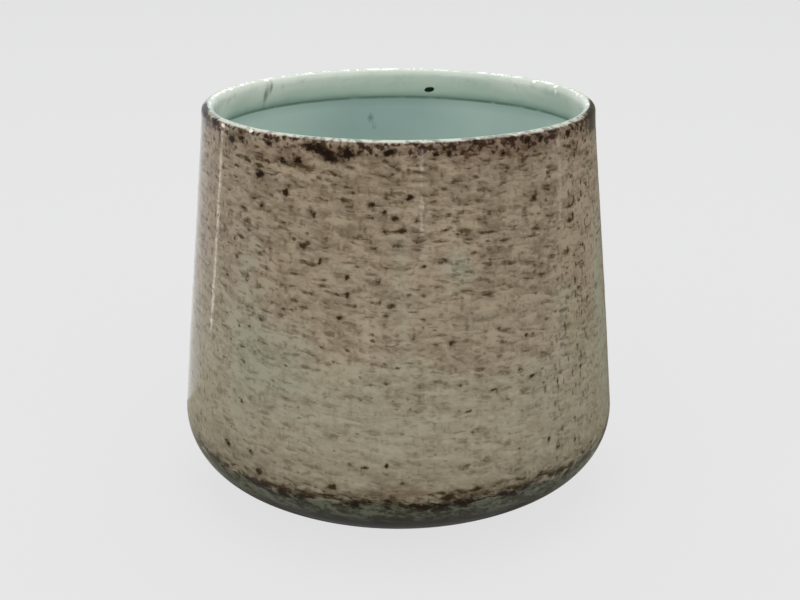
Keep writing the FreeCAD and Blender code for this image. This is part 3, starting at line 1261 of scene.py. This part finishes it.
# where the iron wash is thicker, or thinner so that the celadon shows
WASH_PATCHES = (
    Patch(262, 185, 24, 22, 0.12),
    Patch(330, 172, 40, 22, 0.14),
    Patch(490, 200, 60, 50, 0.16),
    Patch(375, 330, 16, 50, -0.06),
    Patch(245, 290, 24, 60, -0.08),
    Patch(320, 420, 60, 40, -0.1),
    Patch(470, 420, 56, 36, -0.06),
    Patch(455, 250, 11, 22, -0.2),
    Patch(340, 266, 12, 10, -0.1),
    Patch(262, 480, 22, 14, 0.14),
    Patch(566, 185, 12, 46, -0.16),
    Patch(500, 172, 22, 22, 0.16),
    Patch(404, 246, 15, 12, -0.14),
    Patch(244, 235, 14, 30, -0.06),
    Patch(290, 250, 34, 36, -0.05),
    Patch(276, 362, 26, 28, -0.17),
    Patch(566, 298, 12, 14, -0.12),
    Patch(468, 270, 14, 14, -0.1),
    Patch(212, 165, 10, 14, 0.12),
    Patch(500, 345, 28, 24, 0.08),
    Patch(566, 375, 16, 30, 0.05),
    Patch(592, 158, 12, 30, 0.1),
    Patch(598, 262, 14, 70, -0.2),
    Patch(602, 370, 14, 60, -0.22),
    Patch(244, 376, 20, 54, -0.12),
    Patch(404, 290, 9, 60, -0.1),
    Patch(342, 246, 14, 14, 0.1),
    Patch(482, 272, 24, 12, -0.1),
    Patch(545, 139, 60, 7, 0.14),
    Patch(210, 122, 12, 8, 0.2),
    Patch(246, 137, 36, 4, -0.2),
    Patch(258, 152, 36, 6, 0.16),
    Patch(345, 147, 26, 4, -0.12),
    Patch(400, 494, 20, 7, 0.45),
    Patch(360, 468, 44, 8, 0.12),
    # thinner wash low on the left edge, partly a painted reflection of the pale floor
    Patch(208, 400, 11, 28, -0.14),
)

# painted shade on the far wall inside, strongest in its middle
FAR_WALL_SHADE_PATCHES = (
    Patch(385, 117, 62, 45, 1.0),
    Patch(520, 112, 34, 24, 0.35),
)

# where the collar is painted creamier: partly its own glaze, partly painted light on its left and right
CREAM_AND_LIGHT_PATCHES = (
    Patch(222, 96, 30, 12, 1.4),
    Patch(262, 84, 34, 10, 1.0),
    Patch(315, 80, 34, 8, 0.5),
    Patch(583, 100, 26, 12, 1.2),
    Patch(520, 84, 26, 8, 0.6),
)

# where short upright ticks crowd the brushed strokes
TICK_PATCHES = (
    Patch(572, 380, 24, 46, 0.9),
    Patch(580, 230, 22, 60, 0.8),
    Patch(205, 360, 16, 60, 0.7),
    Patch(215, 190, 16, 50, 0.5),
)


class Zone(Enum):
    """The stretches of the pot's outline, each with a finish of its own."""

    UNDERSIDE = 0
    OUTSIDE = 1
    INSIDE = 2


@dataclass(frozen=True)
class Near:
    """A corner near a place on the pot, with its metres to the right of the place and above it."""

    corner: bmesh.types.BMVert
    right: float
    up: float


class Canvas:
    """The pot's surface, with marks placed on it where the photograph shows them.

    same_side is how nearly a corner's normal has to agree with a place's, and unmarked is what a
    corner holds that no mark reaches. A mark reaches mark_reach times half its larger size.
    """

    same_side: float = 0.2
    unmarked: float = -1.0
    mark_reach: float = 2.0

    def __init__(self, mesh: bmesh.types.BMesh, view: PhotoView) -> None:
        """Prepares the surface for finding places on it.

        Args:
            mesh: the pot, with its normals right.
            view: the camera that the marks' pixels belong to.
        """
        mesh.verts.ensure_lookup_table()
        self.mesh = mesh
        self.view = view
        self.surface = BVHTree.FromBMesh(mesh)
        self.corners = KDTree(len(mesh.verts))
        for number, corner in enumerate(mesh.verts):
            self.corners.insert(corner.co, number)
        self.corners.balance()

    def around(self, column: float, row: float, reach: float) -> list[Near]:
        """Finds the corners near the place that a pixel shows, on that side of the wall.

        Args:
            column: pixels from the frame's left edge.
            row: pixels from its top edge.
            reach: how far to look, in metres.

        Returns:
            The corners, or none where the pixel misses the pot.
        """
        place, normal, _, _ = self.surface.ray_cast(*self.view.ray(column, row))
        if place is None:
            LOG.warning("no glaze at pixel %s, %s", column, row)
            return []
        right = Vector((0.0, 0.0, 1.0)).cross(normal).normalized()
        upward = normal.cross(right)
        near = []
        for _, number, _ in self.corners.find_range(place, reach):
            corner = self.mesh.verts[number]
            if corner.normal.dot(normal) > self.same_side:
                offset = corner.co - place
                near.append(Near(corner, offset.dot(right), offset.dot(upward)))
        return near

    def lay_marks(self, name: str, marks: tuple[Mark, ...]) -> None:
        """Stores how deep each corner lies in the nearest mark: 1 in its middle, 0 on its edge.

        Args:
            name: the attribute that it is stored as.
            marks: the marks.
        """
        layer = self.mesh.verts.layers.float.new(name)
        for corner in self.mesh.verts:
            corner[layer] = self.unmarked
        for mark in marks:
            half_length = mark.length * MILLIMETRE / 2
            half_width = mark.width * MILLIMETRE / 2
            turn = math.radians(mark.tilt)
            for near in self.around(mark.column, mark.row, self.mark_reach * max(half_length, half_width)):
                along = near.right * math.cos(turn) + near.up * math.sin(turn)
                across = near.up * math.cos(turn) - near.right * math.sin(turn)
                depth = 1.0 - math.hypot(along / half_length, across / half_width)
                near.corner[layer] = max(near.corner[layer], depth)

    def lay_patches(self, name: str, patches: tuple[Patch, ...]) -> None:
        """Stores a sum of soft patches at each corner.

        Args:
            name: the attribute that it is stored as.
            patches: the patches.
        """
        layer = self.mesh.verts.layers.float.new(name)
        for patch in patches:
            across = patch.across * MILLIMETRE
            upright = patch.upright * MILLIMETRE
            for near in self.around(patch.column, patch.row, max(across, upright)):
                fade = max(0.0, 1.0 - (near.right / across) ** 2 - (near.up / upright) ** 2)
                near.corner[layer] += patch.strength * fade * fade


@dataclass
class CeramicPot:
    """The turned shell of the pot, drawn as one outline and spun about the axis."""

    low: Vector
    high: Vector
    mouth_radius: float = 0.081
    belly_height: float = 0.0338
    base_radius: float = 0.0458
    belly_round_share: float = 0.784
    wall: float = 0.004
    floor_thickness: float = 0.0065
    lip_swell: float = 0.0016
    collar_depth: float = 0.0137
    collar_step: float = 0.0011
    collar_roll: float = 0.004
    foot_width: float = 0.012
    recess_depth: float = 0.0015
    wash_edge_height: float = 0.0276
    fullness: float = 0.00035
    wobble: float = 0.00025
    slow_turns: Scale = (1.3, 1.3, 14.0)
    ring_turns: Scale = (0.6, 0.6, 160.0)
    ring_shift: float = 7.0
    ring_share: float = 0.3
    flare: float = 0.0004
    flare_height: float = 0.012
    sector_steps: int = 25
    doublings: int = 4
    fine_step: float = 0.0012
    coarse_step: float = 0.005
    merge_distance: float = 0.00001
    body: str = "root"
    belly_radius: float = field(init=False)

    def __post_init__(self) -> None:
        """Takes the largest radius from the frame."""
        self.belly_radius = min(self.high.x, self.high.y, -self.low.x, -self.low.y)

    @property
    def lean(self) -> float:
        """How far the wall leans in for each metre of height."""
        return (self.belly_radius - self.mouth_radius) / (self.high.z - self.low.z - self.belly_height)

    @property
    def half_lip(self) -> float:
        """Half the thickness of the lip, and the radius that it is rounded with."""
        return (self.wall + self.lip_swell) / 2

    @property
    def landmarks(self) -> Landmarks:
        """The places that the finishes follow."""
        return Landmarks(
            rim=self.high.z,
            crest=self.mouth_radius - self.half_lip * (1 - self.lean) + self.fullness + self.flare,
            crease=self.high.z - self.collar_depth,
            wash_edge=self.low.z + self.wash_edge_height,
        )

    def line(self, start: Point, end: Point, step: float) -> list[Point]:
        """Follows a straight stretch.

        Args:
            start: radius and height where it starts.
            end: radius and height where it ends.
            step: about how far apart the points are.

        Returns:
            The points, without the start.
        """
        count = max(1, round(math.dist(start, end) / step))
        shares = [number / count for number in range(1, count + 1)]
        return [(start[0] + (end[0] - start[0]) * at, start[1] + (end[1] - start[1]) * at) for at in shares]

    def arc(self, centre: Point, radius: float, start: float, end: float, step: float) -> list[Point]:
        """Follows an arc.

        Args:
            centre: radius and height of its centre.
            radius: the arc's own radius.
            start: the angle where it starts, in radians.
            end: the angle where it ends.
            step: about how far apart the points are.

        Returns:
            The points, without the start.
        """
        count = max(1, round(abs(end - start) * radius / step))
        angles = [start + (end - start) * number / count for number in range(1, count + 1)]
        return [(centre[0] + radius * math.cos(at), centre[1] + radius * math.sin(at)) for at in angles]

    def bowl(self, base: Point, belly: Point, rim: Point, step: float) -> list[Point]:
        """Follows one side of a bowl: a wide heel arc, a tighter belly arc, and a side that leans in.

        Args:
            base: radius and height where the flat base ends.
            belly: radius and height of the widest place.
            rim: radius and height where the side ends.
            step: about how far apart the points are.

        Returns:
            The points from the base, left out, to the rim.
        """
        reach = belly[0] - base[0]
        rise = belly[1] - base[1]
        tight = self.belly_round_share * rise
        wide = (reach ** 2 + rise ** 2 - 2 * reach * tight) / (2 * (rise - tight))
        centre = (belly[0] - tight, belly[1])
        heel_end = math.atan2(rise - wide, reach - tight)
        lean = (rim[0] - centre[0], rim[1] - centre[1])
        belly_end = math.atan2(lean[1], lean[0]) - math.acos(tight / math.hypot(*lean))
        points = self.arc((base[0], base[1] + wide), wide, -math.pi / 2, heel_end, step)
        points += self.arc(centre, tight, heel_end, belly_end, step)
        return points + self.line(points[-1], rim, step)

    def underside(self) -> list[Point]:
        """Draws the recess and the foot ring.

        Returns:
            The points from the axis out to the end of the base.
        """
        base = self.low.z
        recess = base + self.recess_depth
        foot_inner = self.base_radius - self.foot_width
        points = [(0.0, recess)]
        for corner in ((foot_inner, recess), (foot_inner, base), (self.base_radius, base)):
            points += self.line(points[-1], corner, self.coarse_step)
        return points

    def outside(self, start: Point, lip_centre: Point) -> list[Point]:
        """Draws the heel, the belly, the wall and the outer half of the lip.

        Args:
            start: the end of the base.
            lip_centre: the centre of the lip's round.

        Returns:
            The points from the base up to the crest.
        """
        belly = (self.belly_radius, self.low.z + self.belly_height)
        shoulder = (lip_centre[0] + self.half_lip, lip_centre[1])
        points = [start] + self.bowl(start, belly, shoulder, self.fine_step)
        lip_start = math.atan(self.lean)
        return points + self.arc(lip_centre, self.half_lip, lip_start, math.pi / 2, self.fine_step / 2)

    def inside(self, start: Point, lip_centre: Point) -> list[Point]:
        """Draws the inner half of the lip, the collar, its roll, the inner wall and the floor.

        Args:
            start: the crest.
            lip_centre: the centre of the lip's round.

        Returns:
            The points from the crest down to the axis.
        """
        tight_step = self.fine_step / 2
        rim = self.high.z
        crease = (self.mouth_radius - self.wall + self.collar_depth * self.lean, rim - self.collar_depth)
        inset = self.collar_roll - self.collar_step
        drop = math.sqrt(self.collar_roll ** 2 - inset ** 2)
        roll_centre = (crease[0] + inset, crease[1] + drop)
        away = (lip_centre[0] - self.half_lip - roll_centre[0], lip_centre[1] - roll_centre[1])
        roll_start = math.atan2(away[1], away[0]) + math.acos(self.collar_roll / math.hypot(*away))
        roll_end = math.atan2(-drop, -inset) + math.tau
        roll = self.arc(roll_centre, self.collar_roll, roll_start, roll_end, tight_step)
        floor = (self.base_radius, self.low.z + self.floor_thickness)
        belly = (self.belly_radius - self.wall, self.low.z + self.belly_height)
        wall = self.bowl(floor, belly, crease, self.coarse_step)
        points = [start] + self.arc(lip_centre, self.half_lip, math.pi / 2, math.pi, tight_step)
        points += self.line(points[-1], roll[0], self.fine_step) + roll[1:]
        points += wall[-2::-1] + [floor]
        return points + self.line(floor, (0.0, floor[1]), self.coarse_step)

    def outlines(self) -> dict[Zone, list[Point]]:
        """Draws the outline, from the middle of the underside out, up, over the lip and down to the floor.

        Returns:
            The points of each zone; each zone starts where the one before it ends.
        """
        rim = self.high.z
        shoulder = self.mouth_radius + self.lean * self.half_lip
        lip_centre = (shoulder - self.half_lip, rim - self.half_lip)
        underside = self.underside()
        outside = self.outside(underside[-1], lip_centre)
        inside = self.inside(outside[-1], lip_centre)
        return {Zone.UNDERSIDE: underside, Zone.OUTSIDE: outside, Zone.INSIDE: inside}

    def spin(self, mesh: bmesh.types.BMesh, zone: Zone, outline: list[Point]) -> None:
        """Turns one zone of the outline into faces: a narrow sector is spun, then doubled all round.

        Args:
            mesh: the mesh to add to.
            zone: the zone, whose number is also its finish.
            outline: the zone's points.
        """
        corners = [mesh.verts.new((0.0, -radius, height)) for radius, height in outline]
        edges = [mesh.edges.new(pair) for pair in zip(corners, corners[1:])]
        before = set(mesh.faces)
        centre = (0.0, 0.0, 0.0)
        turn = math.tau / 2 ** self.doublings
        bmesh.ops.spin(
            mesh,
            geom=corners + edges,
            cent=centre,
            axis=(0.0, 0.0, 1.0),
            angle=turn,
            steps=self.sector_steps,
            use_merge=False,
        )
        made = list(set(mesh.faces) - before)
        for _ in range(self.doublings):
            copied = bmesh.ops.duplicate(mesh, geom=made)["geom"]
            copied_corners = [each for each in copied if isinstance(each, bmesh.types.BMVert)]
            bmesh.ops.rotate(mesh, verts=copied_corners, cent=centre, matrix=Matrix.Rotation(turn, 3, "Z"))
            made += [each for each in copied if isinstance(each, bmesh.types.BMFace)]
            turn *= 2
        for face in made:
            face.material_index = zone.value
            face.smooth = True

    def throw(self, mesh: bmesh.types.BMesh) -> None:
        """Fills the wall out a little, unevenly, and flares the lip, as a pot leaves the potter's hands.

        Args:
            mesh: the pot, whose corners are moved.
        """
        steady = self.low.z + self.belly_height
        shift = Vector((0.0, self.ring_shift, 0.0))
        for corner in mesh.verts:
            height = corner.co.z
            hold = min(1.0, max(0.0, (height - steady) / steady))
            radius = math.hypot(corner.co.x, corner.co.y)
            if hold == 0.0 or radius == 0.0:
                continue
            around = Vector((corner.co.x, corner.co.y, 0.0)) / radius
            place = Vector((around.x, around.y, height))
            slow = noise.noise(place * Vector(self.slow_turns))
            rings = noise.noise(place * Vector(self.ring_turns) + shift)
            uneven = slow * (1.0 - self.ring_share) + rings * self.ring_share
            lift = max(0.0, 1.0 - (self.high.z - height) / self.flare_height)
            corner.co += around * ((self.fullness + self.wobble * uneven) * hold + self.flare * lift * lift)

    def build(self, view: PhotoView) -> bpy.types.Object:
        """Builds and dresses the pot.

        Args:
            view: the camera of the photograph.

        Returns:
            The pot.
        """
        mesh = bmesh.new()
        for zone, outline in self.outlines().items():
            self.spin(mesh, zone, outline)
        bmesh.ops.remove_doubles(mesh, verts=mesh.verts, dist=self.merge_distance)
        bmesh.ops.recalc_face_normals(mesh, faces=mesh.faces)
        self.throw(mesh)
        mesh.normal_update()
        mesh.verts.index_update()
        canvas = Canvas(mesh, view)
        canvas.lay_marks("iron", IRON_MARKS)
        canvas.lay_marks("smear", SMEARS)
        # painted glints
        canvas.lay_marks("pale", GLINT_MARKS)
        canvas.lay_patches("wash", WASH_PATCHES)
        canvas.lay_patches("upright", TICK_PATCHES)
        # painted shade on the far wall inside
        canvas.lay_patches("deep", FAR_WALL_SHADE_PATCHES)
        # creamier collar, partly painted light
        canvas.lay_patches("cream_and_light", CREAM_AND_LIGHT_PATCHES)
        finishes = {
            Zone.UNDERSIDE: BareClay(),
            Zone.OUTSIDE: BrushedIronWash(self.landmarks),
            Zone.INSIDE: BareCeladon(self.landmarks),
        }
        pot = stand("glazed_pot", mesh, [finishes[zone].material() for zone in Zone])
        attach(pot, self.body)
        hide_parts("ceramic_pot")
        return pot


@dataclass
class FeltPad:
    """One felt pad under the foot ring, in the place and at the size that the frame gives."""

    node: str
    material: bpy.types.Material
    segments: int = 48
    edge_share: float = 0.25
    edge_segments: int = 3
    body: str = "root"

    def caps(self, mesh: bmesh.types.BMesh) -> list[bmesh.types.BMFace]:
        """Finds the pad's two round ends, the only faces with as many corners as the pad has segments."""
        return [face for face in mesh.faces if len(face.verts) == self.segments]

    def build(self) -> bpy.types.Object:
        """Builds and dresses the pad.

        Returns:
            The pad.
        """
        low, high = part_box(self.node)
        radius = min(high.x - low.x, high.y - low.y) / 2
        thickness = high.z - low.z
        mesh = bmesh.new()
        bmesh.ops.create_cone(
            mesh,
            cap_ends=True,
            segments=self.segments,
            radius1=radius,
            radius2=radius,
            depth=thickness,
            matrix=Matrix.Translation((low + high) / 2),
        )
        caps = self.caps(mesh)
        rims = [edge for edge in mesh.edges if any(face in caps for face in edge.link_faces)]
        bmesh.ops.bevel(
            mesh,
            geom=rims,
            offset=thickness * self.edge_share,
            offset_type="OFFSET",
            segments=self.edge_segments,
            profile=0.5,
            affect="EDGES",
            material=-1,
        )
        bmesh.ops.inset_region(mesh, faces=self.caps(mesh), thickness=radius * self.edge_share)
        bmesh.ops.recalc_face_normals(mesh, faces=mesh.faces)
        for face in mesh.faces:
            face.smooth = True
        pad = stand(self.node + "_felt", mesh, [self.material])
        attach(pad, self.body)
        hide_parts(self.node)
        return pad


def hang(light: bpy.types.Light, gloss_only: bool) -> bpy.types.Object:
    """Hangs a lamp in the scene, out of the camera's sight.

    Args:
        light: the lamp's light.
        gloss_only: whether only the gloss shows it.

    Returns:
        The lamp, still to be placed.
    """
    lamp = bpy.data.objects.new(light.name, light)
    lamp.visible_camera = False
    lamp.visible_diffuse = not gloss_only
    bpy.context.scene.collection.objects.link(lamp)
    return lamp


@dataclass(frozen=True)
class Softbox:
    """A flat lamp that lights the pot from one side.

    bearing is in degrees from the camera's side, to the right. The rest are metres and watts.
    """

    name: str
    bearing: float
    distance: float
    height: float
    size: float
    power: float
    gloss_only: bool = False
    aim_height: float = 0.08

    def build(self) -> None:
        """Builds the lamp and aims it."""
        light = bpy.data.lights.new(self.name, "AREA")
        light.size = self.size
        light.energy = self.power
        lamp = hang(light, self.gloss_only)
        turn = math.radians(self.bearing)
        lamp.location = (self.distance * math.sin(turn), -self.distance * math.cos(turn), self.height)
        away = Vector((0.0, 0.0, self.aim_height)) - lamp.location
        lamp.rotation_euler = away.to_track_quat("-Z", "Y").to_euler()


@dataclass(frozen=True)
class Streak:
    """A narrow lamp that only the gloss shows, standing where the pot's side mirrors it to the camera.

    top and bottom are the pixels that its ends show at, distance and width are metres, and glow is
    its brightness, where 1 is white.
    """

    name: str
    top: Point
    bottom: Point
    distance: float
    width: float
    glow: float
    tint: Paint = (255, 246, 234)

    def mirrored(self, surface: BVHTree, view: PhotoView, pixel: Point) -> Vector:
        """Finds the place that the pot's side mirrors to a pixel.

        Args:
            surface: the pot's faces.
            view: the camera that the pixel belongs to.
            pixel: its column and row.

        Returns:
            The place, at the streak's distance from the pot.
        """
        eye, sight = view.ray(*pixel)
        place, normal, _, _ = surface.ray_cast(eye, sight)
        bounced = sight - 2 * sight.dot(normal) * normal
        return place + bounced * (self.distance / math.hypot(bounced.x, bounced.y))

    def build(self, surface: BVHTree, view: PhotoView) -> None:
        """Builds the lamp, facing the pot.

        Args:
            surface: the pot's faces.
            view: the camera that the pixels belong to.
        """
        top = self.mirrored(surface, view, self.top)
        bottom = self.mirrored(surface, view, self.bottom)
        light = bpy.data.lights.new(self.name, "AREA")
        light.shape = "RECTANGLE"
        light.size = self.width
        light.size_y = (top - bottom).length
        light.energy = self.glow * math.pi * light.size * light.size_y
        light.color = linear(self.tint)[:3]
        middle = (top + bottom) / 2
        upward = (top - bottom).normalized()
        facing = -Vector((middle.x, middle.y, 0.0))
        facing = (facing - upward * facing.dot(upward)).normalized()
        turned = Matrix((upward.cross(-facing), upward, -facing)).transposed()
        hang(light, True).matrix_world = Matrix.Translation(middle) @ turned.to_4x4()


@dataclass(frozen=True)
class Flag:
    """A card that only the gloss shows, keeping the pale floor out of the pot's edges.

    Its front edge lies at the low height and its back edge at the high one.
    """

    name: str
    left: float
    right: float
    front: float
    back: float
    low: float
    high: float
    tone: Paint
    roughness: float = 0.9

    def build(self) -> None:
        """Builds the card."""
        mesh = bmesh.new()
        places = [
            (self.left, self.front, self.low),
            (self.right, self.front, self.low),
            (self.right, self.back, self.high),
            (self.left, self.back, self.high),
        ]
        mesh.faces.new([mesh.verts.new(place) for place in places])
        paper = Bench(self.name).finish({"Base Color": linear(self.tone), "Roughness": self.roughness})
        card = stand(self.name, mesh, [paper])
        card.visible_camera = False
        card.visible_diffuse = False
        card.visible_shadow = False


@dataclass(frozen=True)
class Studio:
    """A pale floor, an even sky with soft lamps in it, and streaks of light and cards for the gloss."""

    seen: Paint = (228, 228, 228)
    bounce: Paint = (188, 186, 182)
    even_share: float = 0.92
    floor_size: float = 8.0
    sky: Paint = (236, 238, 240)
    sky_strength: float = 0.85
    softboxes: tuple[Softbox, ...] = (
        Softbox("left", -42.0, 1.5, 1.3, 1.2, 9.0),
        Softbox("right", 35.0, 1.6, 1.3, 1.2, 8.0),
        Softbox("above", 180.0, 0.3, 1.5, 1.4, 12.0),
        Softbox("behind", 180.0, 1.2, 0.42, 0.3, 0.12, gloss_only=True),
    )
    streaks: tuple[Streak, ...] = (
        Streak("left_flank", (222.0, 146.0), (212.0, 330.0), 0.3, 0.007, 12.0),
        Streak("under_rim", (420.5, 152.0), (420.5, 172.0), 1.2, 0.008, 200.0),
        Streak("middle", (368.0, 273.0), (368.0, 370.0), 0.4, 0.006, 14.0),
        Streak("right_middle", (455.0, 203.0), (455.0, 273.0), 0.6, 0.008, 14.0),
        Streak("right_flank", (560.0, 155.0), (559.0, 229.0), 0.5, 0.01, 10.0),
    )
    flags: tuple[Flag, ...] = (
        Flag("leaning_card", 0.099, 0.7, 0.0, 0.22, 0.001, 0.4, (140, 136, 122)),
        Flag("floor_card", -0.3, 0.3, -0.065, 0.07, 0.0008, 0.0008, (174, 172, 160)),
    )

    def pale_floor(self) -> bpy.types.Material:
        """Makes the floor's material, which shows an even tone and bounces less light than it shows.

        Returns:
            The material.
        """
        bench = Bench("pale_floor")
        path = bench.node("ShaderNodeLightPath")
        camera, gloss, glass = (
            Signal(bench, path.outputs[f"Is {kind} Ray"]) for kind in ("Camera", "Glossy", "Transmission")
        )
        seen = bench.math("MAXIMUM", bench.math("MAXIMUM", camera, gloss), glass)
        tone = bench.blend(self.bounce, self.seen, seen)
        lit = bench.node("ShaderNodeBsdfDiffuse", None, {"Color": tone})
        even = bench.node("ShaderNodeEmission", None, {"Color": tone, "Strength": 1.0})
        sockets = {
            0: camera * self.even_share,
            1: Signal(bench, lit.outputs[0]),
            2: Signal(bench, even.outputs[0]),
        }
        mixed = bench.node("ShaderNodeMixShader", None, sockets)
        bench.node("ShaderNodeOutputMaterial", None, {0: Signal(bench, mixed.outputs[0])})
        return bench.material

    def floor(self) -> None:
        """Makes the floor, which takes the pot's soft shadow."""
        mesh = bmesh.new()
        bmesh.ops.create_grid(mesh, x_segments=1, y_segments=1, size=self.floor_size / 2)
        stand("floor", mesh, [self.pale_floor()])

    def build(self, pot: bpy.types.Object, view: PhotoView) -> None:
        """Builds the floor, the sky, the cards and the lamps.

        Args:
            pot: the pot, for the streaks that it mirrors.
            view: the camera of the photograph.
        """
        self.floor()
        world = bpy.data.worlds.new("studio")
        world.use_nodes = True
        background = world.node_tree.nodes["Background"]
        background.inputs["Color"].default_value = linear(self.sky)
        background.inputs["Strength"].default_value = self.sky_strength
        bpy.context.scene.world = world
        for each in self.flags + self.softboxes:
            each.build()
        surface = BVHTree.FromPolygons(
            [corner.co for corner in pot.data.vertices],
            [face.vertices for face in pot.data.polygons],
        )
        for streak in self.streaks:
            streak.build(surface, view)


def corners(box: tuple[Any, Any]) -> list[list[float]]:
    """Gives a box's two corners as plain lists."""
    return [list(map(float, corner)) for corner in box]


def main() -> None:
    """Builds the pot, its pads and the studio."""
    logging.basicConfig(level=logging.INFO, format="%(name)s: %(message)s")
    view = PhotoView()
    bpy.context.scene.camera = view.camera()
    bpy.context.scene.view_settings.view_transform = "Standard"
    pot = CeramicPot(*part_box("ceramic_pot")).build(view)
    LOG.info("%s: %d faces", pot.name, len(pot.data.polygons))
    Studio().build(pot, view)
    felt = PressedFelt().material()
    for node in sorted(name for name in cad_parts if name.startswith("felt_pad")):
        pad = FeltPad(node, felt).build()
        LOG.info("%s: %d faces", pad.name, len(pad.data.polygons))


if __name__ == "__main__":
    main()
